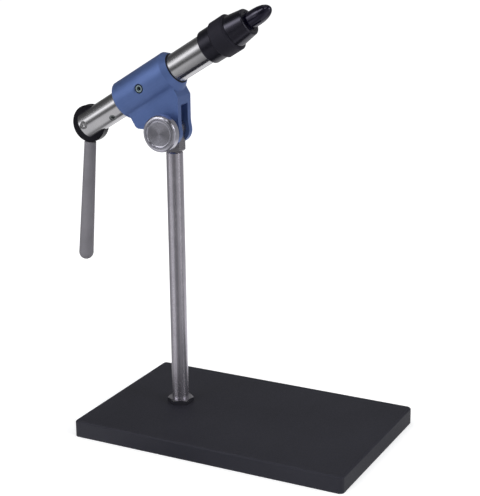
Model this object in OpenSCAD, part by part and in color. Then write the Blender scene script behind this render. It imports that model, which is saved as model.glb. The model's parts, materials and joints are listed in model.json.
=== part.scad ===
// Rotary fly tying vise on a flat base plate.
// A cam lever at the rear of the barrel moves a drawbar, which pulls two jaws into a tapered collar.
// The origin is the centre of the plate's underside, +X points to the jaws and +Z up.
// The drawing shows the head raised to its working angle, the lever down and the jaws shut.

/* [Base plate] */
// Length of the plate, along the vise
base_length = 165; // [140:1:200]
// Width of the plate
base_width = 102; // [80:1:130]
// Thickness of the plate
base_thickness = 9.5; // [8.5:0.5:14]
// Radius of the plate's upright corners
base_corner_radius = 2.5; // [1:0.5:6]
// Bevel along the plate's top edges
base_edge_bevel = 0.8; // [0.4:0.1:2]
// Distance from the stem's axis to the plate's rear edge
stem_setback = 40.6; // [25:0.1:60]

/* [Stem] */
// Diameter of the stem
stem_diameter = 9.5; // [8.5:0.1:11]
// Length of the stem above the plate
stem_length = 149.5; // [130:0.5:180]
// Thickness of the jam nut at the stem's foot
jam_nut_thickness = 3; // [2:0.1:5]
// Wall of the jam nut, from the stem to a flat
jam_nut_wall = 1.9; // [1.2:0.1:3]
// Height of the pivot above the stem's top
pivot_rise = 12.5; // [10.5:0.1:16]
// Width of the stem head, seen from the side
stem_head_width = 10; // [8.5:0.1:11]
// Thickness of the stem head, between the ears
stem_head_thickness = 6.9; // [6.2:0.1:8]

/* [Head block] */
// Angle of the barrel above the horizontal
tilt_angle = 31.5; // [0:0.5:60]
// Distance from the pivot up to the barrel's axis, square to the barrel
barrel_rise = 27.5; // [26:0.1:31]
// Diameter of the round housing
housing_diameter = 22.8; // [21.8:0.1:26]
// Housing in front of the pivot, along the barrel
housing_front_reach = 19.6; // [18.8:0.1:24]
// Length of the cone at the housing's front
housing_cone_length = 3; // [2:0.1:4]
// Housing behind the pivot, along the barrel
housing_rear_reach = 19.75; // [18.5:0.05:26]
// Thickness of each ear
ear_thickness = 3.45; // [2.8:0.05:4.5]
// Radius of the ears round the pivot
ear_lobe_radius = 7.6; // [6.6:0.1:8.5]
// Height of the ears' front corner above the pivot
ear_front_height = 19.1; // [17:0.1:19.6]
// Setback of the ears' straight front edge behind the front of the lobe
ear_front_setback = 0.8; // [0.2:0.1:1.2]
// Ears behind the pivot, along the barrel
ear_rear_reach = 17.2; // [15:0.1:18.4]
// Angle between the barrel and the ears' lower edge
ear_edge_angle = 31.5; // [26:0.5:36]

/* [Pivot knob] */
// Diameter of the pivot screw
pivot_screw_diameter = 5; // [4:0.1:6]
// Diameter of the knob
knob_diameter = 20.5; // [16:0.5:24]
// Thickness of the knob's disc
knob_thickness = 5.3; // [4:0.1:8]
// Diameter of the knob's hub
knob_hub_diameter = 11; // [9:0.1:13]
// Length of the knob's hub
knob_hub_length = 3.9; // [2:0.1:5]

/* [Barrel] */
// Diameter of the barrel in front of the housing
barrel_front_diameter = 16.4; // [16.2:0.1:17.2]
// Diameter of the barrel in and behind the housing
barrel_rear_diameter = 15.4; // [14.4:0.1:15.6]
// Bore of the barrel round the spring
barrel_bore_diameter = 11.2; // [11:0.1:11.6]
// Barrel behind the pivot
barrel_rear_reach = 50.5; // [49.8:0.1:52]
// Diameter of the barrel's thread
thread_diameter = 15.6; // [15:0.1:15.9]

/* [Collar] */
// Rear edge of the lock ring in front of the pivot
lock_ring_reach = 43; // [40:0.1:46]
// Diameter of the lock ring
lock_ring_diameter = 19.2; // [18.4:0.1:20]
// Length of the lock ring
lock_ring_length = 8; // [6:0.1:9]
// Diameter of the collar's grip
collar_grip_diameter = 21.1; // [20:0.1:24]
// Length of the collar's grip
collar_grip_length = 10.3; // [9.5:0.1:11]
// Diameter of the nose where it leaves the grip
nose_rear_diameter = 18.3; // [16.8:0.1:19]
// Diameter of the nose at its mouth
nose_front_diameter = 15.4; // [14.4:0.1:16.4]
// Length of the nose
nose_length = 10.8; // [10.4:0.1:12]

/* [Jaws] */
// Diameter of the jaws in front of the nose
jaw_diameter = 9.2; // [8.4:0.1:9.8]
// Length of the jaws in front of the nose
jaw_reach = 14.5; // [10:0.5:20]
// Angle of the cone that shuts the jaws
jaw_cone_angle = 12; // [11.5:0.1:13]
// Opening angle of each jaw
jaw_opening_angle = 1.3; // [0.8:0.1:1.4]

/* [Cam and lever] */
// Distance from the barrel's rear end to the cam pivot's axis
cam_inset = 3.4; // [3:0.1:4]
// Diameter of the cam disc
cam_disc_diameter = 21.2; // [20.4:0.1:21.6]
// Thickness of the cam disc
cam_disc_thickness = 5.8; // [5.4:0.1:6.2]
// Diameter of the cam pivot, the pin that the disc turns on
cam_pivot_diameter = 4.6; // [3.8:0.1:4.8]
// Travel of the drawbar
cam_travel = 2.2; // [1.8:0.1:2.4]
// Turn of the lever from shut to open
cam_throw_angle = 90; // [70:1:90]
// Distance from the cam pivot to the lever's end
lever_length = 82; // [60:1:100]
// Diameter of the lever at the disc
lever_top_diameter = 6.8; // [6:0.1:7.6]
// Diameter of the lever at its end
lever_end_diameter = 8.5; // [7.6:0.1:10]
// Angle of the shut lever below the barrel's axis, from the front
lever_angle = 126.7; // [110:0.1:150]

/* [Hidden] */

$fn = 64;

// How far a cut runs past the face that it opens
overrun = 1;
// Gap round a piece that turns or slides in a bore
running_gap = 0.05;
// Gap between end faces that pass each other
face_gap = 0.1;

// Base screw, a cap screw from below
base_screw_diameter = 5;
base_screw_head_diameter = 8.5;
base_screw_head_height = 5;
base_screw_sink = 0.6;
base_screw_hold = 12;
base_screw_key = 4;
base_screw_key_depth = 2.6;
counterbore_diameter = 9.5;
base_web_start = base_screw_sink + base_screw_head_height;

// Stem and the stem head on top of it
stem_edge_bevel = 0.7;
stem_head_spigot_length = 8;
stem_head_spigot_radius = 2.5;
stem_head_eye_radius = 5.7;
stem_head_foot_bevel = 0.9;
jam_nut_turn = 27;
jam_nut_bevel = 0.6;
stem_x = stem_setback - base_length / 2;
stem_top = base_thickness + stem_length;
pivot_height = stem_top + pivot_rise;
stem_bore_clearance = 0.5;

// Head block
ear_slot_half = stem_head_thickness / 2 + face_gap;
ear_outer_half = ear_slot_half + ear_thickness;
ear_slot_rise = 8.8;
ear_lobe_drop = 0.8;
ear_cove_radius = 4;
ear_cove_steps = 10;
ear_edge_drop = 0.3;
ear_rear_corner_radius = 3;
ear_front_corner_radius = 1.2;
ear_fillet_radius = 3;
housing_radius = housing_diameter / 2;
housing_rear_bevel = 1;
housing_mouth_wall = 0.3;
ear_front_fillet_radius = 25;
ear_front_reach = ear_lobe_radius - ear_front_setback;
ear_front_plane = turned_point([ear_front_reach, ear_front_height], -ear_edge_angle).x;

// Bushings and thrust washer
front_bushing_wall = 0.6;
rear_bushing_wall = 1.25;
bushing_recess = 0.1;
rear_bushing_length = 10;
thrust_washer_thickness = 0.8;
thrust_washer_margin = 0.15;
barrel_front_radius = barrel_front_diameter / 2;
barrel_rear_radius = barrel_rear_diameter / 2;
barrel_step = 5.9;
thrust_face = barrel_step - face_gap - thrust_washer_thickness;
housing_relief = 0.4;
housing_bore_radius = barrel_rear_radius + housing_relief;
front_bush_inner = barrel_front_radius + running_gap;
front_bush_outer = front_bush_inner + front_bushing_wall;
rear_bush_inner = barrel_rear_radius + running_gap;
rear_bush_outer = rear_bush_inner + rear_bushing_wall;
housing_mouth_radius = front_bush_outer + housing_mouth_wall;
housing_cone_slope = (housing_radius - housing_mouth_radius) / housing_cone_length;

// Drag screw and its pad
drag_screw_place = -1.2;
drag_screw_radius = 2.5;
drag_hole_radius = drag_screw_radius + running_gap;
drag_screw_recess = 0.6;
drag_screw_key = 2.5;
drag_screw_key_depth = 1.2;
drag_pad_radius = 1.8;
drag_pad_length = 1.3;
drag_countersink = 0.6;
drag_groove_depth = 0.4;
drag_groove_radius = barrel_rear_radius - drag_groove_depth;
drag_pad_tip = drag_groove_radius + running_gap;
drag_screw_inner = drag_pad_tip + drag_pad_length + running_gap;

// Pivot screw, washer and knob
pivot_screw_radius = pivot_screw_diameter / 2;
washer_thickness = 0.8;
washer_margin = 0.6;
knob_hub_start = ear_outer_half + washer_thickness + running_gap;
knob_disc_start = knob_hub_start + knob_hub_length;
knob_face = knob_disc_start + knob_thickness;
knob_rim_round = 2;
knob_back_bevel = 0.5;
knob_dish_depth = 0.8;
knob_dish_share = 0.64;
knob_dish_wall_round = 1.1;
pivot_screw_cover = 2;
pivot_screw_end_gap = 0.4;

// Barrel
bore_radius = barrel_bore_diameter / 2;
thread_radius = thread_diameter / 2;
guide_screw_setback = 22;
guide_screw_place = guide_screw_setback - barrel_rear_reach;
guide_bore_lead = 6.5;
guide_bore_end = guide_screw_place + guide_bore_lead;
barrel_edge_bevel = 0.5;
thread_inset = 1.2;
thread_start = lock_ring_reach + thread_inset;

// Lock ring and collar, each placed from the one behind it
ring_edge_round = 0.9;
grip_edge_bevel = 0.9;
nose_edge_round = 1.1;
grip_start = lock_ring_reach + lock_ring_length + face_gap;
grip_end = grip_start + collar_grip_length;
nose_mouth = grip_end + nose_length;
barrel_front_sink = 0.8;
barrel_front_end = grip_end - barrel_front_sink;
throat_lead = 0.4;
throat_start = grip_end - throat_lead;

// Jaws
jaw_neck_radius = 3.4;
jaw_radius = jaw_diameter / 2;
jaw_shoulder_sink = 0.2;
jaw_shoulder = nose_mouth - jaw_shoulder_sink;
jaw_cone_length = 9.6;
jaw_cone_start = nose_mouth - jaw_cone_length;
jaw_tip = nose_mouth + jaw_reach;
jaw_taper_length = 10.6;
jaw_taper_start = jaw_tip - jaw_taper_length;
jaw_bluntness_share = 0.3;
jaw_taper_steps = 14;
jaw_split_half = 0.08;
jaw_relief_half = 0.35;
jaw_bite_length = 7;
jaw_relief_end = jaw_tip - jaw_bite_length;
jaw_cone_gap = 0.13;
jaw_hinge_setback = 24.6;
jaw_hinge = nose_mouth - jaw_hinge_setback;
jaw_knuckle_radius = 2.6;
jaw_knuckle_half = 3;
jaw_neck_inset = 3.1;
jaw_neck_start = jaw_hinge + jaw_neck_inset;
jaw_spring_inset = 8.5;
jaw_spring_place = jaw_hinge + jaw_spring_inset;
jaw_spring_pocket_depth = 2.2;
jaw_spring_wire = 0.4;
jaw_spring_radius = 1.05;
jaw_spring_turns = 6;
hinge_pin_radius = 1.2;
throat_gap = 0.26;
throat_radius = jaw_neck_radius + (jaw_cone_start - jaw_hinge) * sin(jaw_opening_angle) + throat_gap;

// Drawbar
cam_setback = barrel_rear_reach - cam_inset;
cam_disc_radius = cam_disc_diameter / 2;
cam_pivot_radius = cam_pivot_diameter / 2;
drawbar_radius = 3.6;
drawbar_guide_gap = 0.08;
drawbar_guide_radius = drawbar_radius + drawbar_guide_gap;
drawbar_head_radius = bore_radius - face_gap;
drawbar_rear_gap = 0.6;
drawbar_rear = -cam_setback + cam_disc_radius + drawbar_rear_gap;
drawbar_head_setback = 9.5;
drawbar_head_start = jaw_hinge - drawbar_head_setback;
drawbar_fork_gap = 0.5;
drawbar_fork_root = jaw_hinge - jaw_knuckle_radius - drawbar_fork_gap;
drawbar_prong_thickness = 1.5;
drawbar_prong_start = jaw_knuckle_half + face_gap;
drawbar_prong_end = drawbar_prong_start + drawbar_prong_thickness;
drawbar_tongue_thickness = 2;
drawbar_tongue_half = 2;
spring_flange_start = 8;
spring_flange_length = 3;
spring_wire = 0.9;
spring_radius = 4.5;
spring_turns = 10;

// Cam disc, its spiral slots and the groove for the drawbar's tongue
cam_slot_start_radius = 5.4;
cam_pin_radius = 1.2;
cam_slot_half = cam_pin_radius + running_gap;
cam_slot_steps = 24;
cam_hub_radius = 3.1;
cam_groove_half = drawbar_tongue_thickness / 2 + face_gap;
cam_groove_margin_angle = 27;
cam_edge_bevel = 0.5;
cam_slot_in_barrel_half = cam_disc_thickness / 2 + face_gap;
cam_pin_place = -cam_setback + cam_slot_start_radius;
cam_slot_depth = 1;
cam_pin_half = cam_groove_half + cam_slot_depth - face_gap;
cam_pivot_proud = 0.1;
cam_pivot_dimple_radius = 1;
cam_pivot_dimple_depth = 0.4;
cam_pivot_chamfer = 0.35;
barrel_slot_gap = 0.4;

// Guide screw in the barrel
guide_screw_angle = 42;
guide_screw_radius = 2.1;
guide_screw_gap = 0.6;
guide_screw_inner = drawbar_radius + guide_screw_gap;
guide_screw_recess = 0.45;
guide_dog_radius = 0.95;
guide_dog_tip = 2.8;
guide_screw_key = 2;
guide_screw_key_depth = 0.9;
keyway_half = guide_dog_radius + running_gap;
keyway_floor = guide_dog_tip - face_gap;

// Lever
lever_top_radius = lever_top_diameter / 2;
lever_end_radius = lever_end_diameter / 2;
lever_spigot_radius = 2;
lever_spigot_depth = 4.2;
lever_top_bevel = 0.4;

// Facets of the springs' wire
wire_sides = 6;
rings_per_turn = 14;

// Point at an angle and a distance from a centre
function polar(radius, angle, centre = [0, 0]) =
    [centre.x + radius * cos(angle), centre.y + radius * sin(angle)];

// Points of an arc, both ends included
function arc(radius, from, to, centre = [0, 0], steps = 10) =
    [for (i = [0:steps]) polar(radius, from + (to - from) * i / steps, centre)];

// A point turned about the origin
function turned_point(p, angle) =
    [p.x * cos(angle) - p.y * sin(angle), p.x * sin(angle) + p.y * cos(angle)];

// Radius of the jaws' cone at a place along the barrel
function cone_radius(place) =
    jaw_neck_radius + (place - jaw_cone_start) * tan(jaw_cone_angle);

// Radius of the jaws' bullet tip at a share of its length
function tip_radius(share) = jaw_radius * sqrt(1 - pow(share, 2 + jaw_bluntness_share));

// Six-sided opening or nut, given across its flats
module hexagon(across_flats, length) {
    cylinder(h = length, d = across_flats / cos(30), $fn = 6);
}

// The head's own frame: origin at the pivot, X along the barrel
module at_head() {
    translate([stem_x, 0, pivot_height]) rotate([0, -tilt_angle, 0]) children();
}

// The barrel's frame: origin on the barrel's axis above the pivot
module at_barrel() {
    at_head() translate([0, 0, barrel_rise]) children();
}

// The cam's frame: origin on the cam pivot's axis
module at_cam() {
    at_barrel() translate([-cam_setback, 0, 0]) children();
}

// A profile of [radius, place] points turned about the barrel's axis
module turned(points) {
    rotate([0, 90, 0]) rotate_extrude($fn = 96) polygon(points);
}

// A profile in the side view given a width across the vise
module across(width) {
    rotate([90, 0, 0]) linear_extrude(width, center = true) children();
}

// A piece drawn along Z set square to the barrel, at an angle below the near side
module radially(angle = 0) {
    rotate([90 + angle, 0, 0]) children();
}

// One round wire coiled about Z, its ends at height zero and at the length
module coil(coil_radius, wire, length, turns) {
    rings = turns * rings_per_turn;
    rise = length - wire;
    points = [
        for (i = [0:rings])
            for (j = [0:wire_sides - 1])
                let (along = 360 * i / rings_per_turn)
                let (round = 360 * j / wire_sides)
                let (reach = coil_radius + wire / 2 * cos(round))
                let (height = wire / 2 + rise * i / rings + wire / 2 * sin(round))
                [reach * cos(along), reach * sin(along), height]
    ];
    sides = [
        for (i = [0:rings - 1])
            for (j = [0:wire_sides - 1])
                let (a = i * wire_sides + j)
                let (b = i * wire_sides + (j + 1) % wire_sides)
                [a, a + wire_sides, b + wire_sides, b]
    ];
    start_cap = [[for (j = [0:wire_sides - 1]) j]];
    end_cap = [[for (j = [wire_sides - 1:-1:0]) rings * wire_sides + j]];
    polyhedron(points, concat(start_cap, sides, end_cap));
}

module base_plate() {
    corner_x = base_length / 2 - base_corner_radius;
    corner_y = base_width / 2 - base_corner_radius;
    color([0.16, 0.16, 0.19]) difference() {
        hull() {
            for (x = [-corner_x, corner_x], y = [-corner_y, corner_y])
                translate([x, y, 0]) {
                    cylinder(h = base_thickness - base_edge_bevel, r = base_corner_radius, $fn = 32);
                    cylinder(h = base_thickness, r = base_corner_radius - base_edge_bevel, $fn = 32);
                }
        }
        translate([stem_x, 0, -overrun])
            cylinder(h = base_thickness + 2 * overrun, d = base_screw_diameter);
        translate([stem_x, 0, -overrun])
            cylinder(h = base_web_start + overrun, d = counterbore_diameter);
    }
}

module base_screw() {
    color([0.25, 0.25, 0.27]) translate([stem_x, 0, 0]) difference() {
        union() {
            translate([0, 0, base_screw_sink])
                cylinder(h = base_screw_head_height, d = base_screw_head_diameter);
            translate([0, 0, base_web_start])
                cylinder(h = base_thickness - base_web_start + base_screw_hold, d = base_screw_diameter);
        }
        translate([0, 0, base_screw_sink - overrun])
            hexagon(base_screw_key, base_screw_key_depth + overrun);
    }
}

module jam_nut() {
    corner_radius = (stem_diameter / 2 + jam_nut_wall) / cos(30);
    color([0.72, 0.72, 0.74]) translate([stem_x, 0, base_thickness]) difference() {
        intersection() {
            rotate([0, 0, jam_nut_turn]) hexagon(stem_diameter + 2 * jam_nut_wall, jam_nut_thickness);
            rotate_extrude() polygon([
                [0, 0],
                [corner_radius + 2 * jam_nut_bevel, 0],
                [corner_radius + 2 * jam_nut_bevel, jam_nut_thickness - 2 * jam_nut_bevel],
                [corner_radius - 2 * jam_nut_bevel, jam_nut_thickness],
                [0, jam_nut_thickness]
            ]);
        }
        translate([0, 0, -overrun]) cylinder(h = jam_nut_thickness + 2 * overrun, d = stem_diameter);
    }
}

module stem() {
    stem_radius = stem_diameter / 2;
    color([0.66, 0.66, 0.68]) translate([stem_x, 0, base_thickness]) difference() {
        rotate_extrude() polygon([
            [0, 0],
            [stem_radius, 0],
            [stem_radius, stem_length - stem_edge_bevel],
            [stem_radius - stem_edge_bevel, stem_length],
            [0, stem_length]
        ]);
        translate([0, 0, -overrun])
            cylinder(h = base_screw_hold + stem_bore_clearance + overrun, d = base_screw_diameter);
        translate([0, 0, stem_length - stem_head_spigot_length - stem_bore_clearance])
            cylinder(h = stem_length, r = stem_head_spigot_radius);
    }
}

module stem_head() {
    half_width = stem_head_width / 2;
    color([0.62, 0.62, 0.64]) translate([stem_x, 0, pivot_height]) difference() {
        union() {
            across(stem_head_thickness) {
                circle(stem_head_eye_radius);
                polygon([
                    [-half_width, 0],
                    [-half_width, -pivot_rise + stem_head_foot_bevel],
                    [-half_width + stem_head_foot_bevel, -pivot_rise],
                    [half_width - stem_head_foot_bevel, -pivot_rise],
                    [half_width, -pivot_rise + stem_head_foot_bevel],
                    [half_width, 0]
                ]);
            }
            translate([0, 0, -pivot_rise - stem_head_spigot_length])
                cylinder(h = stem_head_spigot_length + overrun, r = stem_head_spigot_radius);
        }
        across(stem_head_thickness + 2 * overrun) circle(pivot_screw_radius + running_gap);
    }
}

// Outline of the ears in the side view, seen along the vise with the pivot at the origin.
// The ears' lower edge lies level when the barrel stands at ear_edge_angle.
module ear_outline() {
    corner = [
        ear_front_reach - ear_front_corner_radius,
        ear_front_height - ear_front_corner_radius * tan(ear_edge_angle / 2)
    ];
    front_reach = ear_front_reach + ear_front_fillet_radius;
    lobe_start = acos(front_reach / (ear_lobe_radius + ear_front_fillet_radius));
    front_centre = [front_reach, front_reach * tan(lobe_start) - ear_lobe_drop];
    fillet_drop = ear_edge_drop + ear_fillet_radius - ear_lobe_drop;
    fillet_reach = sqrt(pow(ear_lobe_radius + ear_fillet_radius, 2) - pow(fillet_drop, 2));
    fillet_centre = [-fillet_reach, -fillet_drop - ear_lobe_drop];
    lobe_end = atan2(-fillet_drop, -fillet_reach);
    rear_x = -ear_rear_reach + ear_rear_corner_radius;
    rear_rise = ear_rear_corner_radius - ear_edge_drop - rear_x * sin(ear_edge_angle);
    rear_corner = turned_point([rear_x, rear_rise / cos(ear_edge_angle)], ear_edge_angle);
    level = concat(
        arc(ear_front_corner_radius, ear_edge_angle, 0, corner, 4),
        arc(ear_front_fillet_radius, 180, 180 + lobe_start, front_centre, 6),
        arc(ear_lobe_radius, lobe_start, lobe_end, [0, -ear_lobe_drop], 24),
        arc(ear_fillet_radius, lobe_end + 180, 90, fillet_centre, 6),
        arc(ear_rear_corner_radius, 270, 180 + ear_edge_angle, rear_corner, 6)
    );
    polygon(concat(
        [for (p = level) turned_point(p, -ear_edge_angle)],
        [[-ear_rear_reach, barrel_rise], [ear_front_plane, barrel_rise]]
    ));
}

// The housing and the ears as seen along the barrel: a round with a cove down to each ear's flat side
module ear_section() {
    cove_reach = ear_outer_half + ear_cove_radius;
    cove_drop = sqrt(pow(housing_radius + ear_cove_radius, 2) - pow(cove_reach, 2));
    cove_centre = [cove_reach, barrel_rise - cove_drop];
    side = concat(
        arc(ear_cove_radius, 180 - atan2(cove_drop, cove_reach), 180, cove_centre, ear_cove_steps),
        [[ear_outer_half, -2 * ear_lobe_radius]]
    );
    translate([0, barrel_rise]) circle(housing_radius);
    polygon(concat(side, [for (i = [len(side) - 1:-1:0]) [-side[i].x, side[i].y]]));
}

module head_block() {
    housing_length = housing_front_reach + housing_rear_reach;
    cone_start = ear_front_plane - overrun;
    cone_start_radius = housing_mouth_radius + (housing_front_reach - cone_start) * housing_cone_slope;
    color([0.27, 0.36, 0.62]) at_head() difference() {
        union() {
            translate([0, 0, barrel_rise]) turned([
                [0, -housing_rear_reach],
                [housing_radius - housing_rear_bevel, -housing_rear_reach],
                [housing_radius, -housing_rear_reach + housing_rear_bevel],
                [housing_radius, ear_front_plane],
                [0, ear_front_plane]
            ]);
            intersection() {
                across(2 * housing_diameter) ear_outline();
                rotate([90, 0, 90]) linear_extrude(2 * housing_length, center = true) ear_section();
            }
            intersection() {
                translate([0, 0, barrel_rise]) turned([
                    [0, cone_start],
                    [cone_start_radius, cone_start],
                    [housing_mouth_radius, housing_front_reach],
                    [0, housing_front_reach]
                ]);
                rotate([90, 0, 90]) linear_extrude(2 * housing_length, center = true) ear_section();
            }
        }
        translate([0, 0, barrel_rise]) turned([
            [0, -housing_rear_reach - overrun],
            [rear_bush_outer, -housing_rear_reach - overrun],
            [rear_bush_outer, -housing_rear_reach + bushing_recess + rear_bushing_length],
            [housing_bore_radius, -housing_rear_reach + bushing_recess + rear_bushing_length],
            [housing_bore_radius, thrust_face],
            [front_bush_outer, thrust_face],
            [front_bush_outer, housing_front_reach + overrun],
            [0, housing_front_reach + overrun]
        ]);
        translate([0, 0, ear_slot_rise - 2 * barrel_rise])
            translate([-housing_length, -ear_slot_half, 0])
            cube([2 * housing_length, 2 * ear_slot_half, 2 * barrel_rise]);
        across(2 * housing_diameter) circle(pivot_screw_radius + running_gap);
        translate([drag_screw_place, 0, barrel_rise]) radially() {
            cylinder(h = housing_diameter, r = drag_hole_radius);
            translate([0, 0, housing_radius - drag_countersink]) cylinder(
                h = 2 * drag_countersink, r1 = drag_hole_radius, r2 = drag_hole_radius + 2 * drag_countersink
            );
        }
    }
}

module front_bushing() {
    color([0.07, 0.07, 0.08]) at_barrel() turned([
        [front_bush_inner, thrust_face + thrust_washer_thickness],
        [front_bush_outer, thrust_face + thrust_washer_thickness],
        [front_bush_outer, housing_front_reach - bushing_recess],
        [front_bush_inner, housing_front_reach - bushing_recess]
    ]);
}

module rear_bushing() {
    start = -housing_rear_reach + bushing_recess;
    color([0.07, 0.07, 0.08]) at_barrel() turned([
        [rear_bush_inner, start],
        [rear_bush_outer, start],
        [rear_bush_outer, start + rear_bushing_length],
        [rear_bush_inner, start + rear_bushing_length]
    ]);
}

module thrust_washer() {
    color([0.75, 0.6, 0.32]) at_barrel() turned([
        [barrel_rear_radius + thrust_washer_margin, thrust_face],
        [front_bush_outer, thrust_face],
        [front_bush_outer, thrust_face + thrust_washer_thickness],
        [barrel_rear_radius + thrust_washer_margin, thrust_face + thrust_washer_thickness]
    ]);
}

module drag_screw() {
    outer = housing_radius - drag_screw_recess;
    color([0.3, 0.3, 0.32]) at_barrel() translate([drag_screw_place, 0, 0]) radially() difference() {
        translate([0, 0, drag_screw_inner]) cylinder(h = outer - drag_screw_inner, r = drag_screw_radius);
        translate([0, 0, outer - drag_screw_key_depth])
            hexagon(drag_screw_key, drag_screw_key_depth + overrun);
    }
}

module drag_pad() {
    color([0.9, 0.88, 0.8]) at_barrel() translate([drag_screw_place, 0, 0]) radially()
        translate([0, 0, drag_pad_tip]) cylinder(h = drag_pad_length, r = drag_pad_radius);
}

module knob_washer() {
    color([0.8, 0.8, 0.82]) at_head() rotate([90, 0, 0]) translate([0, 0, ear_outer_half]) difference() {
        cylinder(h = washer_thickness, r = knob_hub_diameter / 2 - washer_margin);
        translate([0, 0, -overrun])
            cylinder(h = washer_thickness + 2 * overrun, r = pivot_screw_radius + running_gap);
    }
}

module pivot_knob() {
    knob_radius = knob_diameter / 2;
    dish_radius = knob_radius * knob_dish_share;
    rim_centre = [knob_radius - knob_rim_round, knob_face - knob_rim_round];
    wall_centre = [dish_radius, knob_face - knob_dish_depth + knob_dish_wall_round];
    wall_edge = -asin(1 - knob_dish_depth / knob_dish_wall_round);
    color([0.64, 0.64, 0.66]) at_head() rotate([90, 0, 0]) rotate_extrude($fn = 96) polygon(concat(
        [
            [0, knob_face - pivot_screw_cover],
            [pivot_screw_radius, knob_face - pivot_screw_cover],
            [pivot_screw_radius, knob_hub_start],
            [knob_hub_diameter / 2, knob_hub_start],
            [knob_hub_diameter / 2, knob_disc_start],
            [knob_radius - knob_back_bevel, knob_disc_start],
            [knob_radius, knob_disc_start + knob_back_bevel]
        ],
        arc(knob_rim_round, 0, 90, rim_centre, 8),
        arc(knob_dish_wall_round, wall_edge, -90, wall_centre, 5),
        [[0, knob_face - knob_dish_depth]]
    ));
}

module pivot_screw() {
    far_end = ear_outer_half - pivot_screw_end_gap;
    color([0.6, 0.6, 0.62]) at_head() rotate([90, 0, 0]) translate([0, 0, -far_end])
        cylinder(h = far_end + knob_face - pivot_screw_cover, r = pivot_screw_radius);
}

module barrel() {
    color([0.66, 0.66, 0.68]) at_barrel() difference() {
        turned([
            [drawbar_guide_radius, -barrel_rear_reach],
            [barrel_rear_radius - barrel_edge_bevel, -barrel_rear_reach],
            [barrel_rear_radius, -barrel_rear_reach + barrel_edge_bevel],
            [barrel_rear_radius, drag_screw_place - drag_pad_radius - face_gap],
            [drag_groove_radius, drag_screw_place - drag_pad_radius - face_gap],
            [drag_groove_radius, drag_screw_place + drag_pad_radius + face_gap],
            [barrel_rear_radius, drag_screw_place + drag_pad_radius + face_gap],
            [barrel_rear_radius, barrel_step],
            [barrel_front_radius, barrel_step],
            [barrel_front_radius, thread_start],
            [thread_radius, thread_start],
            [thread_radius, barrel_front_end - barrel_edge_bevel],
            [thread_radius - barrel_edge_bevel, barrel_front_end],
            [bore_radius, barrel_front_end],
            [bore_radius, guide_bore_end],
            [drawbar_guide_radius, guide_bore_end]
        ]);
        translate([-cam_setback, 0, 0]) {
            across(2 * cam_slot_in_barrel_half) circle(cam_disc_radius + barrel_slot_gap);
            translate([-cam_disc_radius, -cam_slot_in_barrel_half, -cam_disc_radius])
                cube([cam_disc_radius, 2 * cam_slot_in_barrel_half, cam_disc_diameter]);
            across(2 * barrel_rear_diameter) circle(cam_pivot_radius);
        }
        translate([guide_screw_place, 0, 0])
            radially(guide_screw_angle) cylinder(h = barrel_rear_diameter, r = guide_screw_radius);
    }
}

module guide_screw() {
    outer = barrel_rear_radius - guide_screw_recess;
    color([0.35, 0.35, 0.37]) at_barrel() translate([guide_screw_place, 0, 0])
        radially(guide_screw_angle) difference() {
            union() {
                translate([0, 0, guide_screw_inner])
                    cylinder(h = outer - guide_screw_inner, r = guide_screw_radius);
                translate([0, 0, guide_dog_tip])
                    cylinder(h = outer - guide_dog_tip - guide_screw_key_depth, r = guide_dog_radius);
            }
            translate([0, 0, outer - guide_screw_key_depth])
                hexagon(guide_screw_key, guide_screw_key_depth + overrun);
        }
}

module cam_pivot_pin() {
    half = barrel_rear_radius - cam_pivot_proud;
    color([0.6, 0.6, 0.62]) at_cam() rotate([90, 0, 0]) rotate_extrude() polygon([
        [0, -half + cam_pivot_dimple_depth],
        [cam_pivot_dimple_radius, -half],
        [cam_pivot_radius - cam_pivot_chamfer, -half],
        [cam_pivot_radius, -half + cam_pivot_chamfer],
        [cam_pivot_radius, half - cam_pivot_chamfer],
        [cam_pivot_radius - cam_pivot_chamfer, half],
        [cam_pivot_dimple_radius, half],
        [0, half - cam_pivot_dimple_depth]
    ]);
}

module return_spring() {
    color([0.7, 0.7, 0.72]) at_barrel() translate([guide_bore_end, 0, 0]) rotate([0, 90, 0])
        coil(spring_radius, spring_wire, spring_flange_start - guide_bore_end, spring_turns);
}

// Distance from the cam pivot to the middle of a spiral slot, at a share of the lever's throw
function slot_radius(share) = cam_slot_start_radius + cam_travel * share;

// The spiral slots are cut from the groove into both flanges. The drawbar's pin runs in them, and
// the hole at their start, through which the pin is fitted, stays under the barrel's cheeks.

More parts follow.
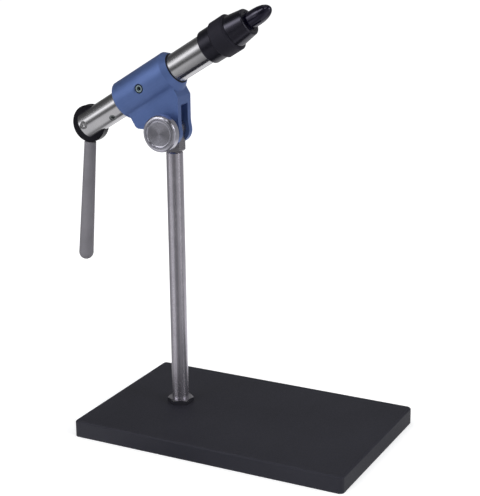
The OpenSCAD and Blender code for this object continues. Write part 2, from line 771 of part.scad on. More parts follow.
module cam_disc() {
    shares = [for (i = [0:cam_slot_steps]) i / cam_slot_steps];
    groove_start = -cam_groove_margin_angle;
    groove_end = cam_throw_angle + cam_groove_margin_angle;
    groove_reach = 2 * cam_disc_radius;
    color([0.09, 0.09, 0.1]) at_cam() difference() {
        rotate([90, 0, 0]) rotate_extrude($fn = 96) polygon([
            [cam_pivot_radius + running_gap, -cam_disc_thickness / 2],
            [cam_disc_radius - cam_edge_bevel, -cam_disc_thickness / 2],
            [cam_disc_radius, -cam_disc_thickness / 2 + cam_edge_bevel],
            [cam_disc_radius, cam_disc_thickness / 2 - cam_edge_bevel],
            [cam_disc_radius - cam_edge_bevel, cam_disc_thickness / 2],
            [cam_pivot_radius + running_gap, cam_disc_thickness / 2]
        ]);
        across(2 * cam_groove_half + 2 * cam_slot_depth) {
            polygon(concat(
                [for (share = shares) polar(slot_radius(share) + cam_slot_half, share * cam_throw_angle)],
                [for (share = shares)
                    polar(slot_radius(1 - share) - cam_slot_half, (1 - share) * cam_throw_angle)]
            ));
            translate(polar(slot_radius(1), cam_throw_angle)) circle(cam_slot_half);
        }
        across(2 * cam_disc_thickness) translate(polar(slot_radius(0), 0)) circle(cam_slot_half);
        across(2 * cam_groove_half) polygon(concat(
            arc(cam_hub_radius, groove_end, groove_start, [0, 0], 16),
            arc(groove_reach, groove_start, groove_end, [0, 0], 4)
        ));
        rotate([0, lever_angle, 0]) rotate([0, 90, 0])
            translate([0, 0, cam_disc_radius - lever_spigot_depth])
            cylinder(h = lever_spigot_depth + overrun, r = lever_spigot_radius);
    }
}

module lever() {
    color([0.47, 0.46, 0.49]) at_cam() rotate([0, lever_angle, 0]) rotate([0, 90, 0])
        rotate_extrude() polygon(concat(
            [
                [0, cam_disc_radius - lever_spigot_depth],
                [lever_spigot_radius, cam_disc_radius - lever_spigot_depth],
                [lever_spigot_radius, cam_disc_radius],
                [lever_top_radius - lever_top_bevel, cam_disc_radius],
                [lever_top_radius, cam_disc_radius + lever_top_bevel]
            ],
            arc(lever_end_radius, 0, 90, [0, lever_length - lever_end_radius], 12)
        ));
}

module drawbar() {
    keyway_start = guide_screw_place - keyway_half - cam_travel;
    color([0.58, 0.58, 0.6]) at_barrel() difference() {
        union() {
            turned([
                [0, drawbar_rear],
                [drawbar_radius, drawbar_rear],
                [drawbar_radius, spring_flange_start],
                [drawbar_head_radius, spring_flange_start],
                [drawbar_head_radius, spring_flange_start + spring_flange_length],
                [drawbar_radius, spring_flange_start + spring_flange_length],
                [drawbar_radius, drawbar_head_start],
                [drawbar_head_radius, drawbar_head_start],
                [drawbar_head_radius, drawbar_fork_root],
                [0, drawbar_fork_root]
            ]);
            across(drawbar_tongue_thickness) {
                translate([cam_pin_place, -drawbar_tongue_half])
                    square([drawbar_rear - cam_pin_place + overrun, 2 * drawbar_tongue_half]);
                translate([cam_pin_place, 0]) circle(drawbar_tongue_half);
            }
            for (side = [-1, 1])
                translate([0, 0, side * (drawbar_prong_start + drawbar_prong_end) / 2])
                    linear_extrude(drawbar_prong_thickness, center = true) {
                        translate([jaw_hinge, 0]) circle(jaw_knuckle_radius);
                        translate([drawbar_fork_root - overrun, -jaw_knuckle_radius])
                            square([jaw_hinge - drawbar_fork_root + overrun, 2 * jaw_knuckle_radius]);
                    }
        }
        across(2 * drawbar_radius) translate([cam_pin_place, 0]) circle(cam_pin_radius);
        translate([jaw_hinge, 0, -barrel_bore_diameter])
            cylinder(h = 2 * barrel_bore_diameter, r = hinge_pin_radius);
        rotate([90 + guide_screw_angle, 0, 0])
            translate([keyway_start, -keyway_half, keyway_floor])
            cube([cam_travel + 2 * keyway_half + face_gap, 2 * keyway_half, drawbar_radius]);
    }
}

module cam_pin() {
    color([0.62, 0.62, 0.64]) at_barrel() translate([cam_pin_place, 0, 0]) rotate([90, 0, 0])
        cylinder(h = 2 * cam_pin_half, r = cam_pin_radius, center = true);
}

module jaw_hinge_pin() {
    color([0.62, 0.62, 0.64]) at_barrel() translate([jaw_hinge, 0, 0])
        cylinder(h = 2 * drawbar_prong_end, r = hinge_pin_radius, center = true);
}

// Both jaws as one turned bullet, from the neck to the tip
module jaw_bullet() {
    turned(concat(
        [
            [0, jaw_neck_start],
            [jaw_neck_radius, jaw_neck_start],
            [jaw_neck_radius, jaw_cone_start],
            [cone_radius(jaw_shoulder), jaw_shoulder],
            [jaw_radius, jaw_shoulder]
        ],
        [for (i = [0:jaw_taper_steps])
            let (share = sin(90 * i / jaw_taper_steps))
            [tip_radius(share), jaw_taper_start + jaw_taper_length * share]]
    ));
}

// One jaw: half of the bullet with its knuckle. side is -1 for the near jaw and 1 for the far one.
module jaw(side) {
    half_start = side > 0 ? jaw_split_half : -jaw_split_half - housing_diameter;
    at_barrel() difference() {
        union() {
            intersection() {
                jaw_bullet();
                translate([jaw_hinge, half_start, -housing_diameter])
                    cube([jaw_tip - jaw_hinge + overrun, housing_diameter, 2 * housing_diameter]);
            }
            translate([0, 0, side > 0 ? -jaw_knuckle_half : running_gap])
                linear_extrude(jaw_knuckle_half - running_gap) {
                    translate([jaw_hinge, 0]) circle(jaw_knuckle_radius);
                    translate([jaw_hinge, side > 0 ? jaw_split_half : -jaw_knuckle_radius])
                        square([jaw_neck_start - jaw_hinge + overrun, jaw_knuckle_radius - jaw_split_half]);
                }
        }
        translate([jaw_hinge, 0, -barrel_bore_diameter])
            cylinder(h = 2 * barrel_bore_diameter, r = hinge_pin_radius + running_gap);
        translate([jaw_cone_start, -jaw_relief_half, -housing_diameter])
            cube([jaw_relief_end - jaw_cone_start, 2 * jaw_relief_half, 2 * housing_diameter]);
        translate([jaw_spring_place, 0, 0]) rotate([90, 0, 0])
            cylinder(h = 2 * jaw_spring_pocket_depth, r = jaw_spring_radius + jaw_spring_wire, center = true);
    }
}

module jaw_near() {
    color([0.1, 0.1, 0.16]) jaw(-1);
}

module jaw_far() {
    color([0.1, 0.1, 0.16]) jaw(1);
}

module jaw_spring() {
    color([0.7, 0.7, 0.72]) at_barrel()
        translate([jaw_spring_place, -jaw_spring_pocket_depth, 0]) rotate([-90, 0, 0])
        coil(jaw_spring_radius, jaw_spring_wire, 2 * jaw_spring_pocket_depth - running_gap, jaw_spring_turns);
}

module lock_ring() {
    ring_radius = lock_ring_diameter / 2;
    ring_end = lock_ring_reach + lock_ring_length;
    rear_edge = [ring_radius - ring_edge_round, lock_ring_reach + ring_edge_round];
    color([0.12, 0.12, 0.14]) at_barrel() turned(concat(
        [[barrel_front_radius + running_gap, lock_ring_reach]],
        arc(ring_edge_round, -90, 0, rear_edge, 3),
        [
            [ring_radius, ring_end],
            [thread_radius + running_gap, ring_end],
            [thread_radius + running_gap, thread_start + face_gap],
            [barrel_front_radius + running_gap, thread_start + face_gap]
        ]
    ));
}

module adjusting_collar() {
    grip_radius = collar_grip_diameter / 2;
    nose_rear_radius = nose_rear_diameter / 2;
    nose_front_radius = nose_front_diameter / 2;
    nose_edge = [nose_front_radius - nose_edge_round, nose_mouth - nose_edge_round];
    cone_start = jaw_cone_start + (throat_radius - jaw_cone_gap - jaw_neck_radius) / tan(jaw_cone_angle);
    color([0.12, 0.12, 0.14]) at_barrel() turned(concat(
        [
            [thread_radius + running_gap, grip_start],
            [grip_radius - grip_edge_bevel, grip_start],
            [grip_radius, grip_start + grip_edge_bevel],
            [grip_radius, grip_end - grip_edge_bevel],
            [grip_radius - grip_edge_bevel, grip_end],
            [nose_rear_radius, grip_end]
        ],
        arc(nose_edge_round, 0, 90, nose_edge, 6),
        [
            [cone_radius(nose_mouth) + jaw_cone_gap, nose_mouth],
            [throat_radius, cone_start],
            [throat_radius, throat_start],
            [thread_radius + running_gap, throat_start]
        ]
    ));
}

base_plate();
base_screw();
jam_nut();
stem();
stem_head();
head_block();
front_bushing();
rear_bushing();
thrust_washer();
drag_screw();
drag_pad();
knob_washer();
pivot_knob();
pivot_screw();
barrel();
guide_screw();
cam_pivot_pin();
return_spring();
cam_disc();
lever();
drawbar();
cam_pin();
jaw_hinge_pin();
jaw_near();
jaw_far();
jaw_spring();
lock_ring();
adjusting_collar();
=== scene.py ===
"""Looks of a rotary fly tying vise: materials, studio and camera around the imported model."""

import json
import math

import bpy
from mathutils import Matrix, Vector

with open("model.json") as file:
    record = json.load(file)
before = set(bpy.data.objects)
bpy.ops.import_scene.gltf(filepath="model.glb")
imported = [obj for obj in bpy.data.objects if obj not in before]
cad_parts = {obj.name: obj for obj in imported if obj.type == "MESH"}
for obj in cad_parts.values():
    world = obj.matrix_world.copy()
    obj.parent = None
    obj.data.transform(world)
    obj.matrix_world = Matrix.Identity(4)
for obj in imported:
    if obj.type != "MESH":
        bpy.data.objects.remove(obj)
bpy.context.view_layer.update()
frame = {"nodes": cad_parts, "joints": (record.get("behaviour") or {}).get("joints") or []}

# Places taken from the frame, in metres
JOINTS = {j["name"]: j for j in frame["joints"]}
PIVOT = Vector(JOINTS["head_tilt"]["pos_m"])
BARREL_POINT = Vector(JOINTS["barrel_spin"]["pos_m"])
BARREL_AXIS = Vector(JOINTS["barrel_spin"]["axis"]).normalized()
CAM_POINT = Vector(JOINTS["lever_throw"]["pos_m"])
DRAG_POINT = Vector(JOINTS["drag_turn"]["pos_m"])
TILT = math.atan2(BARREL_AXIS.z, BARREL_AXIS.x)
STEM_X = PIVOT.x
# Origin and tilt of coordinates whose X runs along the barrel, or up the stem
ALONG_BARREL = (BARREL_POINT, TILT)
UP_STEM = (Vector((STEM_X, 0, 0)), math.pi / 2)
# Drag screw's end: its steel shows as a bright ring, with painted shade in its socket and at its rim.
# The ring's radius, how far from that it is fully bright, and the distance where the painted shade is
# full
DRAG_RING_RADIUS, DRAG_RING_BRIGHT, DRAG_PAINTED_SHADE_FULL = 0.0015, 0.0003, 0.0005
# Where the collar's nose starts, along the barrel from its middle, the length of the change
# there, and how much rougher the grip behind it is
NOSE_START, NOSE_BLEND, GRIP_ROUGHER = 0.0613, 0.0002, 0.48

# The photograph's camera, solved from the plate's corners and the stem
CAMERA_PLACE = Vector((0.32505, -0.63088, 0.31980))
CAMERA_AZIMUTH = 27.388
CAMERA_ELEVATION = 16.596
CAMERA_ROLL = -0.606
CAMERA_LENS = 97.6
CAMERA_SENSOR = 36.0
CAMERA_NEAR, CAMERA_FAR = 0.01, 50

# Turned metals: name, darker and lighter tone, range of roughness, where their rings run, and
# the rings' depth. All tones are the eight-bit values that a picture shows.
RING_DEPTH, FINE_RING_DEPTH = 4e-7, 1e-7
TURNED_METALS = (
    ("stainless_barrel", (188, 187, 191), (200, 199, 202), (0.17, 0.22), ALONG_BARREL, RING_DEPTH),
    ("stainless_stem", (192, 188, 198), (204, 200, 210), (0.24, 0.27), UP_STEM, FINE_RING_DEPTH),
    ("stainless_fitting", (146, 144, 151), (158, 156, 163), (0.24, 0.32), UP_STEM, RING_DEPTH),
    ("stainless_nut", (166, 164, 171), (178, 176, 183), (0.2, 0.28), UP_STEM, RING_DEPTH),
    ("steel_turned", (168, 167, 170), (184, 183, 186), (0.22, 0.36), ALONG_BARREL, RING_DEPTH),
    ("screw_steel", (136, 140, 141), (154, 158, 159), (0.26, 0.4), ALONG_BARREL, RING_DEPTH),
    ("bronze", (190, 150, 92), (205, 165, 105), (0.25, 0.4), ALONG_BARREL, RING_DEPTH),
)
# Scales of noise drawn out into rings round an axis, and into streaks along the head
RING_STRETCH, STREAK_STRETCH = (2600, 60, 60), (120, 120, 2400)
# How far the cutter's rings draw highlights out
BARREL_GRAIN, STEM_GRAIN, KNOB_GRAIN = 0.5, 1.0, 0.75
# Blackened steels: name, darker and lighter tone, range of roughness, and gloss
BLACKENED_STEELS = (
    ("black_steel", (7, 7, 13), (11, 11, 18), (0.2, 0.25), 0.8),
    ("ring_steel", (7, 7, 13), (11, 11, 18), (0.26, 0.32), 0.5),
    ("collar_steel", (3, 3, 9), (7, 7, 14), (0.2, 0.25), 0.8),
    ("jaw_steel", (3, 2, 14), (6, 5, 20), (0.1, 0.14), 0.8),
    ("cam_steel", (6, 6, 9), (11, 11, 14), (0.26, 0.34), 0.35),
)
# Tint of the gloss on blackened steel
BLUE_SHEEN = (0.82, 0.79, 1.0, 1.0)
# Plastics: name, darker and lighter tone
PLASTICS = (
    ("bearing_plastic", (22, 22, 26), (30, 30, 34)),
    ("nylon", (225, 222, 210), (236, 233, 222)),
)
# Finish of each CAD node
FINISHES = {
    "base_plate": "powder_coat",
    "base_screw": "black_steel",
    "jam_nut": "stainless_nut",
    "stem": "stainless_stem",
    "stem_head": "stainless_fitting",
    "head_block": "blue_anodised",
    "front_bushing": "bearing_plastic",
    "rear_bushing": "bearing_plastic",
    "thrust_washer": "bronze",
    "drag_screw": "grub_screw",
    "drag_pad": "nylon",
    "knob_washer": "steel_turned",
    "pivot_knob": "knob_turned",
    "pivot_screw": "steel_turned",
    "barrel": "stainless_barrel",
    "guide_screw": "screw_steel",
    "cam_pivot_pin": "steel_turned",
    "return_spring": "steel_turned",
    "cam_disc": "cam_steel",
    "lever": "blasted_grey",
    "drawbar": "steel_turned",
    "cam_pin": "steel_turned",
    "jaw_hinge_pin": "steel_turned",
    "jaw_near": "jaw_steel",
    "jaw_far": "jaw_steel",
    "jaw_spring": "steel_turned",
    "lock_ring": "ring_steel",
    "adjusting_collar": "collar_steel",
}

# Studio as shiny surfaces show it. Directions are counted from the camera's, positive to its
# right. Each row is azimuth, elevation, their half widths, and the radiance of one soft patch.
WALL_LEVEL = 0.34
CEILING_LEVEL = 0.08
CEILING_START, CEILING_FULL = 26, 50
WALL_PATCHES = (
    (-50, 5, 8, 12, 1.0),
    (66, 4, 7, 12, 1.3),
    (-75, 10, 11, 10, 1.7),
    (-67, 32, 17, 11, 3.3),
    (-104, 25, 15, 14, 0.16),
    (-132, 26, 26, 22, 0.08),
    (-168, 12, 20, 14, 0.16),
    (-58, -4, 9, 6, 0.15),
    (95, 22, 36, 18, 0.32),
    (135, 25, 28, 25, 0.28),
    (-18, 14, 26, 22, 0.08),
    (-50, 46, 11, 12, 3.2),
    (60, 33, 12, 15, 3.0),
    (-4, 62, 16, 8, 3.0),
    (180, 72, 50, 12, 0.8),
    (178, 4, 26, 8, 0.35),
)
# How sharply a patch ends
PATCH_EDGE = 1.5
# Radiance of the floor round the stem, by azimuth
FLOOR_ROUND = (
    (-180, 0.85), (-165, 0.55), (-148, 0.34), (-125, 0.34), (-103, 0.42), (-83, 0.6), (-66, 0.8),
    (-50, 0.76), (-34, 0.48), (-18, 0.31), (-5, 0.24), (8, 0.28), (26, 0.52), (50, 0.62), (65, 0.42),
    (77, 0.3), (103, 0.3), (125, 0.38), (150, 0.6), (180, 0.85),
)
# Fades on that floor: middle azimuth, half width, distance where it starts, length, radiance
FLOOR_DARK = (-52, 26, 0.36, 0.2, 0.13)
FLOOR_BRIGHT = (140, 62, 0.34, -0.16, 1.0)
# How sharply a fade ends at its sides
FADE_EDGE = 4
# Cards that carry walls and floor: a dome seen from the eye's height, and a disc just over the floor
SURROUND_RADIUS = 1.6
SURROUND_EYE = 0.12
SURROUND_SIDES = 180
SURROUND_STEPS = 48
SURROUND_LOWEST, SURROUND_HIGHEST = -6, 90
SMALLEST_REACH = 1e-4
FLOOR_CARD_HEIGHT = 0.0004
FLOOR_CARD_REACHES = (
    SMALLEST_REACH, 0.1, 0.2, 0.3, 0.4, 0.45, 0.5, 0.55, 0.6, 0.7, 0.8, 1.0, 1.3, SURROUND_RADIUS,
)

# The floor itself, and how it is lifted to white with the distance from the middle
FLOOR_SIZE = 8.0
FLOOR_COLOUR = (0.82, 0.82, 0.82, 1)
FLOOR_LIFT_NEAR, FLOOR_LIFT_FAR = 0.45, 0.62
FLOOR_LIFT_START, FLOOR_LIFT_END = 0.1, 0.4

WHITE = (1, 1, 1, 1)
WORLD_COLOUR = (0.97, 0.98, 1, 1)
WORLD_LEVEL = 0.5
# Lamps: name, azimuth, elevation, distance, width, height, and power
LAMPS = (
    ("key_left", CAMERA_AZIMUTH - 45, 14, 1.2, 0.7, 0.9, 7.5),
    ("fill_right", CAMERA_AZIMUTH + 60, 22, 1.4, 0.9, 0.9, 9.5),
    ("top", 0, 85, 1.5, 1.2, 1.2, 2.5),
)
LAMP_TARGET = Vector((0, 0, 0.12))

# The range where nearly all of a noise lies, a quarter turn as the shader counts it, and the
# colour sockets of a Mix node
NOISE_LOW, NOISE_HIGH = 0.3, 0.7
QUARTER_TURN = 0.25
MIX_A, MIX_B, MIX_RESULT = 6, 7, 2


def srgb(r, g, b):
    """A linear colour from the eight-bit values that a picture shows."""
    values = []
    for v in (r / 255, g / 255, b / 255):
        values.append(v / 12.92 if v <= 0.04045 else ((v + 0.055) / 1.055) ** 2.4)
    return (*values, 1.0)


def direction(azimuth, elevation):
    """A unit vector. Azimuth is counted from -Y towards +X, in degrees."""
    a, e = math.radians(azimuth), math.radians(elevation)
    return Vector((math.sin(a) * math.cos(e), -math.cos(a) * math.cos(e), math.sin(e)))


def add_object(name, data):
    """A new object in the scene."""
    made = bpy.data.objects.new(name, data)
    bpy.context.scene.collection.objects.link(made)
    return made


class Nodes:
    """Short helpers for one node tree."""

    def __init__(self, tree):
        self.tree = tree

    def node(self, kind, **settings):
        """A new node with its properties set."""
        made = self.tree.nodes.new(kind)
        for key, value in settings.items():
            setattr(made, key, value)
        return made

    def link(self, source, target):
        """Joins an output to an input."""
        self.tree.links.new(source, target)

    def feed(self, made, values):
        """Gives a node's inputs their values in turn, each an output or a fixed value."""
        for socket, value in zip(made.inputs, values):
            if isinstance(value, bpy.types.NodeSocket):
                self.link(value, socket)
            else:
                socket.default_value = value

    def math(self, operation, *values):
        """A number worked out from others."""
        made = self.node("ShaderNodeMath", operation=operation)
        self.feed(made, values)
        return made.outputs["Value"]

    def vector_math(self, operation, *values):
        """A vector worked out from others, or the length of one."""
        made = self.node("ShaderNodeVectorMath", operation=operation)
        self.feed(made, values)
        return made.outputs["Value" if operation == "LENGTH" else "Vector"]

    def seen_by_lens(self, seen, unseen):
        """Mixes two shaders: one for the lens and for what mirrors and glass show, one for light."""
        path = self.node("ShaderNodeLightPath").outputs
        either = self.math("MAXIMUM", path["Is Camera Ray"], path["Is Glossy Ray"])
        mix = self.node("ShaderNodeMixShader")
        self.feed(mix, (self.math("MAXIMUM", either, path["Is Transmission Ray"]), unseen, seen))
        return mix.outputs["Shader"]


class Material(Nodes):
    """A material on the Principled shader, with helpers that these finishes share."""

    def __init__(self, name, **values):
        self.material = bpy.data.materials.new(name)
        self.material.use_nodes = True
        super().__init__(self.material.node_tree)
        self.shader = self.tree.nodes["Principled BSDF"]
        self.out = self.tree.nodes["Material Output"].inputs["Surface"]
        self.roughness = self.normal = None
        self.set(**values)

    def set(self, **values):
        """Sets the shader's own sockets. An underscore stands for a space in their names."""
        for key, value in values.items():
            self.shader.inputs[key.replace("_", " ")].default_value = value

    def object_place(self):
        """The point's place in the object's own coordinates."""
        return self.node("ShaderNodeTexCoord").outputs["Object"]

    def place(self, origin=(0, 0, 0), tilt=0.0, scale=(1, 1, 1)):
        """The point's place from an origin, turned so that X runs along a tilted axis, and scaled."""
        turned = self.node("ShaderNodeVectorRotate", rotation_type="Y_AXIS")
        self.link(self.vector_math("SUBTRACT", self.object_place(), origin), turned.inputs["Vector"])
        turned.inputs["Angle"].default_value = tilt
        return self.vector_math("MULTIPLY", turned.outputs["Vector"], scale)

    def noise(self, place, scale, detail=2.0, roughness=0.5):
        """A cloudy value round one half."""
        made = self.node("ShaderNodeTexNoise")
        self.link(place, made.inputs["Vector"])
        made.inputs["Scale"].default_value = scale
        made.inputs["Detail"].default_value = detail
        made.inputs["Roughness"].default_value = roughness
        return made.outputs["Fac"]

    def spread(self, value, low=0, high=1, source_low=NOISE_LOW, source_high=NOISE_HIGH):
        """A value mapped from one range to another."""
        made = self.node("ShaderNodeMapRange")
        self.feed(made, (value, source_low, source_high, low, high))
        return made.outputs["Result"]

    def tone(self, share, first, second):
        """Colours the shader between two tones, by a value from 0 to 1."""
        made = self.node("ShaderNodeMix", data_type="RGBA")
        self.link(share, made.inputs["Factor"])
        made.inputs[MIX_A].default_value = srgb(*first)
        made.inputs[MIX_B].default_value = srgb(*second)
        self.link(made.outputs[MIX_RESULT], self.shader.inputs["Base Color"])

    def rough(self, value):
        """Gives the shader its roughness."""
        self.roughness = value
        self.link(value, self.shader.inputs["Roughness"])

    def bump(self, height, depth):
        """Adds one layer of relief, its depth in metres."""
        made = self.node("ShaderNodeBump")
        made.inputs["Distance"].default_value = depth
        made.inputs["Strength"].default_value = 1.0
        self.link(height, made.inputs["Height"])
        if self.normal:
            self.link(self.normal, made.inputs["Normal"])
        self.normal = made.outputs["Normal"]
        self.link(self.normal, self.shader.inputs["Normal"])

    def grain(self, tangent, amount):
        """Draws highlights out across the cutter's rings."""
        self.link(tangent, self.shader.inputs["Tangent"])
        self.set(Anisotropic=amount, Anisotropic_Rotation=QUARTER_TURN)


def grain_round_axis(m, axis, amount):
    """Grain for rings round one of the object's own axes."""
    m.grain(m.node("ShaderNodeTangent", direction_type="RADIAL", axis=axis).outputs["Tangent"], amount)


def grain_round_barrel(m, amount):
    """Grain for rings round the barrel's axis."""
    arm = m.vector_math("SUBTRACT", m.object_place(), BARREL_POINT)
    turned = m.node("ShaderNodeVectorTransform", vector_type="VECTOR",
                    convert_from="OBJECT", convert_to="WORLD")
    m.link(m.vector_math("CROSS_PRODUCT", BARREL_AXIS, arm), turned.inputs["Vector"])
    m.grain(turned.outputs["Vector"], amount)


def roughen_grip(m):
    """Makes the collar's grip matte and leaves its nose polished."""
    parts = m.node("ShaderNodeSeparateXYZ")
    m.link(m.place(*ALONG_BARREL), parts.inputs["Vector"])
    more = m.spread(parts.outputs["X"], GRIP_ROUGHER, 0, NOSE_START, NOSE_START + NOSE_BLEND)
    m.rough(m.math("ADD", more, m.roughness))


def distance_from_axis(m, origin):
    """Distance from the line through a point along Y."""
    return m.vector_math("LENGTH", m.place(origin, scale=(1, 0, 1)))


def turned_metal(name, dark, light, rough, rings_along, depth):
    """Lathe-turned metal: fine rings round the axis, cloudy wear and uneven gloss."""
    m = Material(name, Metallic=1.0)
    rings = m.noise(m.place(*rings_along, scale=RING_STRETCH), scale=1, detail=3)
    cloud = m.noise(m.place(*rings_along), scale=90, detail=4, roughness=0.6)
    m.tone(m.spread(cloud), dark, light)
    m.rough(m.spread(rings, *rough))
    m.bump(rings, depth)
    return m


def blackened(name, dark, light, rough, gloss):
    """Blackened steel: a satin skin with faint cloudiness and a fine tooth."""
    m = Material(name, Metallic=0.0, Specular_IOR_Level=gloss, Specular_Tint=BLUE_SHEEN)
    cloud = m.noise(m.place(), scale=120, detail=4, roughness=0.6)
    m.tone(m.spread(cloud), dark, light)
    m.rough(m.spread(cloud, *rough))
    m.bump(m.noise(m.place(), scale=4200, detail=2), 2e-6)
    return m


def plastic(name, dark, light):
    """Moulded plastic with a faint unevenness."""
    m = Material(name, Metallic=0.0)
    cloud = m.noise(m.place(), scale=300, detail=3)
    m.tone(m.spread(cloud), dark, light)
    m.rough(m.spread(cloud, 0.42, 0.55))
    m.bump(cloud, 4e-6)
    return m


def powder_coat():
    """The plate's satin black coat, with a fine orange peel."""
    m = Material("powder_coat", Metallic=0.0, Specular_IOR_Level=0.35)
    cloud = m.noise(m.place(), scale=22, detail=5, roughness=0.6)
    peel = m.noise(m.place(), scale=1500, detail=3, roughness=0.6)
    m.tone(m.spread(cloud), (32, 32, 41), (37, 37, 46))
    m.rough(m.spread(peel, 0.5, 0.62))
    m.bump(peel, 2.2e-5)
    return m


def anodised():
    """The head's blue: blasted, with faint streaks along it, under a thin clear layer."""
    m = Material("blue_anodised", Metallic=0.75, Specular_IOR_Level=0.5,
                 Coat_Weight=0.3, Coat_Roughness=0.35)
    along = m.place(*ALONG_BARREL)
    cloud = m.noise(along, scale=60, detail=4, roughness=0.6)
    streaks = m.noise(m.place(*ALONG_BARREL, scale=STREAK_STRETCH), scale=1, detail=3, roughness=0.6)
    m.tone(m.spread(cloud), (89, 113, 168), (99, 123, 180))
    m.rough(m.spread(streaks, 0.44, 0.56))
    m.bump(m.noise(along, scale=5200, detail=2), 5e-6)
    m.bump(streaks, 1.5e-6)
    return m


def grub_screw():
    """The drag screw: bright steel in a ring, with painted shade in its socket and at its rim."""
    m = Material("grub_screw", Metallic=0.6)
    inward = m.math("SUBTRACT", distance_from_axis(m, DRAG_POINT), DRAG_RING_RADIUS)
    # Painted shade: the steel darkens inwards into the socket and outwards to the rim
    m.tone(m.spread(m.math("ABSOLUTE", inward), 0, 1, DRAG_RING_BRIGHT, DRAG_PAINTED_SHADE_FULL),
           (150, 168, 174), (20, 32, 38))
    cloud = m.noise(m.place(DRAG_POINT), scale=900, detail=3)
    m.rough(m.spread(cloud, 0.26, 0.4))
    m.bump(cloud, 2e-6)
    return m


def knob_metal():
    """The knob: cutter's rings round its own axis on the face."""
    m = Material("knob_turned", Metallic=1.0)
    radius = m.node("ShaderNodeCombineXYZ")
    m.link(distance_from_axis(m, PIVOT), radius.inputs["X"])
    rings = m.noise(radius.outputs["Vector"], scale=3800, detail=3, roughness=0.7)
    cloud = m.noise(m.place(PIVOT), scale=160, detail=4, roughness=0.6)
    m.tone(m.spread(cloud), (192, 191, 204), (210, 209, 221))
    m.rough(m.spread(rings, 0.2, 0.28))
    m.bump(rings, 1.6e-6)
    grain_round_axis(m, "Y", KNOB_GRAIN)
    return m


def blasted_grey():
    """The lever's grey, bead blasted."""
    m = Material("blasted_grey", Metallic=0.35)
    cloud = m.noise(m.place(CAM_POINT), scale=70, detail=4, roughness=0.6)
    blast = m.noise(m.place(CAM_POINT), scale=4200, detail=2)
    m.tone(m.spread(cloud), (120, 118, 124), (131, 129, 135))
    m.rough(m.spread(blast, 0.5, 0.62))
    m.bump(blast, 8e-6)
    return m


def make_finishes():
    """Every finish by its name."""
    made = [turned_metal(*row) for row in TURNED_METALS]
    made += [blackened(*row) for row in BLACKENED_STEELS]
    made += [plastic(*row) for row in PLASTICS]
    made += [powder_coat(), anodised(), grub_screw(), knob_metal(), blasted_grey()]
    finishes = {m.material.name: m for m in made}
    grain_round_barrel(finishes["stainless_barrel"], BARREL_GRAIN)
    grain_round_axis(finishes["stainless_stem"], "Z", STEM_GRAIN)
    roughen_grip(finishes["collar_steel"])
    return finishes


def dress():
    """Gives every CAD node its finish."""
    finishes = make_finishes()
    for node, name in FINISHES.items():
        for slot in frame["nodes"][node].material_slots:
            slot.material = finishes[name].material


def make_camera():
    """The photograph's camera."""
    azimuth = math.radians(CAMERA_AZIMUTH)
    back = direction(CAMERA_AZIMUTH, CAMERA_ELEVATION)
    right = Vector((math.cos(azimuth), math.sin(azimuth), 0))
    up = back.cross(right)
    roll = Matrix.Rotation(math.radians(CAMERA_ROLL), 3, back)
    axes = Matrix((roll @ right, roll @ up, back)).transposed()
    data = bpy.data.cameras.new("camera")
    data.lens, data.sensor_width = CAMERA_LENS, CAMERA_SENSOR
    data.clip_start, data.clip_end = CAMERA_NEAR, CAMERA_FAR
    camera = add_object("camera", data)
    camera.matrix_world = Matrix.Translation(CAMERA_PLACE) @ axes.to_4x4()
    bpy.context.scene.camera = camera


def set_view():
    """Colours come out as they are written."""
    bpy.context.scene.view_settings.view_transform = "Standard"


def make_world():
    """White for the lens, an even soft light for everything else."""
    world = bpy.data.worlds.new("studio")
    world.use_nodes = True
    bpy.context.scene.world = world
    tree = Nodes(world.node_tree)
    white = world.node_tree.nodes["Background"]
    white.inputs["Color"].default_value = WHITE
    soft = tree.node("ShaderNodeBackground")
    tree.feed(soft, (WORLD_COLOUR, WORLD_LEVEL))
    out = world.node_tree.nodes["World Output"]
    tree.link(tree.seen_by_lens(white.outputs[0], soft.outputs[0]), out.inputs["Surface"])


def make_floor():
    """A pale floor that takes the shadow, lifted to white where the lens sees it."""
    mesh = bpy.data.meshes.new("floor")
    size = FLOOR_SIZE
    corners = [(-size, -size, 0), (size, -size, 0), (size, size, 0), (-size, size, 0)]
    mesh.from_pydata(corners, [], [(0, 1, 2, 3)])
    floor = add_object("floor", mesh)
    m = Material("floor_white", Base_Color=FLOOR_COLOUR, Roughness=1.0, Specular_IOR_Level=0.0)
    away = m.vector_math("LENGTH", m.object_place())
    glow = m.node("ShaderNodeEmission")
    m.link(m.spread(away, FLOOR_LIFT_NEAR, FLOOR_LIFT_FAR, FLOOR_LIFT_START, FLOOR_LIFT_END),
           glow.inputs["Strength"])
    lifted = m.node("ShaderNodeAddShader")
    m.feed(lifted, (m.shader.outputs[0], glow.outputs[0]))
    m.link(m.seen_by_lens(lifted.outputs[0], m.shader.outputs[0]), m.out)
    mesh.materials.append(m.material)


def turn_between(a, b):
    """The shortest turn from one azimuth to another, in degrees."""
    return (a - b + 180) % 360 - 180


def wall_level(azimuth, elevation):
    """What a mirror shows above the floor in one direction."""
    rise = min(1, max(0, (elevation - CEILING_START) / (CEILING_FULL - CEILING_START)))
    level = WALL_LEVEL + (CEILING_LEVEL - WALL_LEVEL) * rise
    for centre, height, wide, tall, radiance in WALL_PATCHES:
        away = (turn_between(azimuth, centre) / wide) ** 2 + ((elevation - height) / tall) ** 2
        level += (radiance - level) * math.exp(-away ** PATCH_EDGE)
    return level


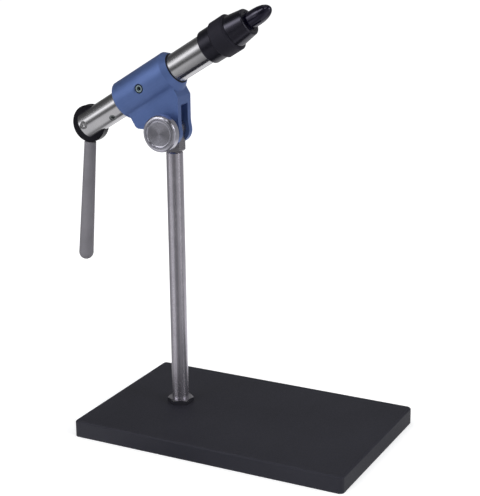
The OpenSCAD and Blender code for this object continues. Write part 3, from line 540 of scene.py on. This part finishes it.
def floor_level(azimuth, distance):
    """What a mirror shows on the floor, by direction and distance from the stem."""
    level = FLOOR_ROUND[-1][1]
    for (a, low), (b, high) in zip(FLOOR_ROUND, FLOOR_ROUND[1:]):
        if a <= azimuth <= b:
            level = low + (high - low) * (azimuth - a) / (b - a)
    for centre, wide, start, fade, radiance in (FLOOR_DARK, FLOOR_BRIGHT):
        share = math.exp(-(turn_between(azimuth, centre) / wide) ** FADE_EDGE)
        share *= min(1, max(0, (distance - start) / fade))
        level += (radiance - level) * share
    return level


def ring_faces(count):
    """Faces between rings of points that follow each other."""
    faces = []
    for ring in range(count - 1):
        a, b = ring * SURROUND_SIDES, (ring + 1) * SURROUND_SIDES
        for i in range(SURROUND_SIDES):
            j = (i + 1) % SURROUND_SIDES
            faces.append((a + i, a + j, b + j, b + i))
    return faces


def add_card(name, rings, level):
    """A card that only shiny things see, from rings of reach, height and the value for its level."""
    points, glows = [], []
    for reach, height, value in rings:
        for i in range(SURROUND_SIDES):
            azimuth = i * 360 / SURROUND_SIDES - 180
            turn = math.radians(azimuth + CAMERA_AZIMUTH)
            points.append((STEM_X + reach * math.sin(turn), -reach * math.cos(turn), height))
            glows.append(level(azimuth, value))
    mesh = bpy.data.meshes.new(name)
    mesh.from_pydata(points, [], ring_faces(len(rings)))
    mesh.attributes.new("glow", "FLOAT", "POINT").data.foreach_set("value", glows)
    card = add_object(name, mesh)
    card.visible_camera = card.visible_diffuse = card.visible_shadow = False
    card.visible_transmission = card.visible_volume_scatter = False
    m = Material(name)
    m.tree.nodes.remove(m.shader)
    emission = m.node("ShaderNodeEmission")
    glow = m.node("ShaderNodeAttribute", attribute_name="glow")
    m.link(glow.outputs["Fac"], emission.inputs["Strength"])
    m.link(emission.outputs["Emission"], m.out)
    mesh.materials.append(m.material)


def make_surround():
    """Soft boxes, flags and a graded floor, seen in reflections alone."""
    dome = []
    for step in range(SURROUND_STEPS + 1):
        elevation = SURROUND_LOWEST + (SURROUND_HIGHEST - SURROUND_LOWEST) * step / SURROUND_STEPS
        turn = math.radians(elevation)
        height = max(2 * FLOOR_CARD_HEIGHT, SURROUND_EYE + SURROUND_RADIUS * math.sin(turn))
        dome.append((max(SMALLEST_REACH, SURROUND_RADIUS * math.cos(turn)), height, elevation))
    add_card("reflected_walls", dome, wall_level)
    disc = [(reach, FLOOR_CARD_HEIGHT, reach) for reach in FLOOR_CARD_REACHES]
    add_card("reflected_floor", disc, floor_level)


def make_lamps():
    """Soft rectangular lamps aimed at the middle, which mirrors don't show."""
    for name, azimuth, elevation, distance, width, height, power in LAMPS:
        towards = direction(azimuth, elevation)
        data = bpy.data.lights.new(name, "AREA")
        data.shape = "RECTANGLE"
        data.size, data.size_y = width, height
        data.energy = power
        lamp = add_object(name, data)
        lamp.location = LAMP_TARGET + towards * distance
        lamp.rotation_euler = towards.to_track_quat("Z", "Y").to_euler()
        lamp.visible_glossy = False


dress()
make_camera()
set_view()
make_world()
make_floor()
make_surround()
make_lamps()
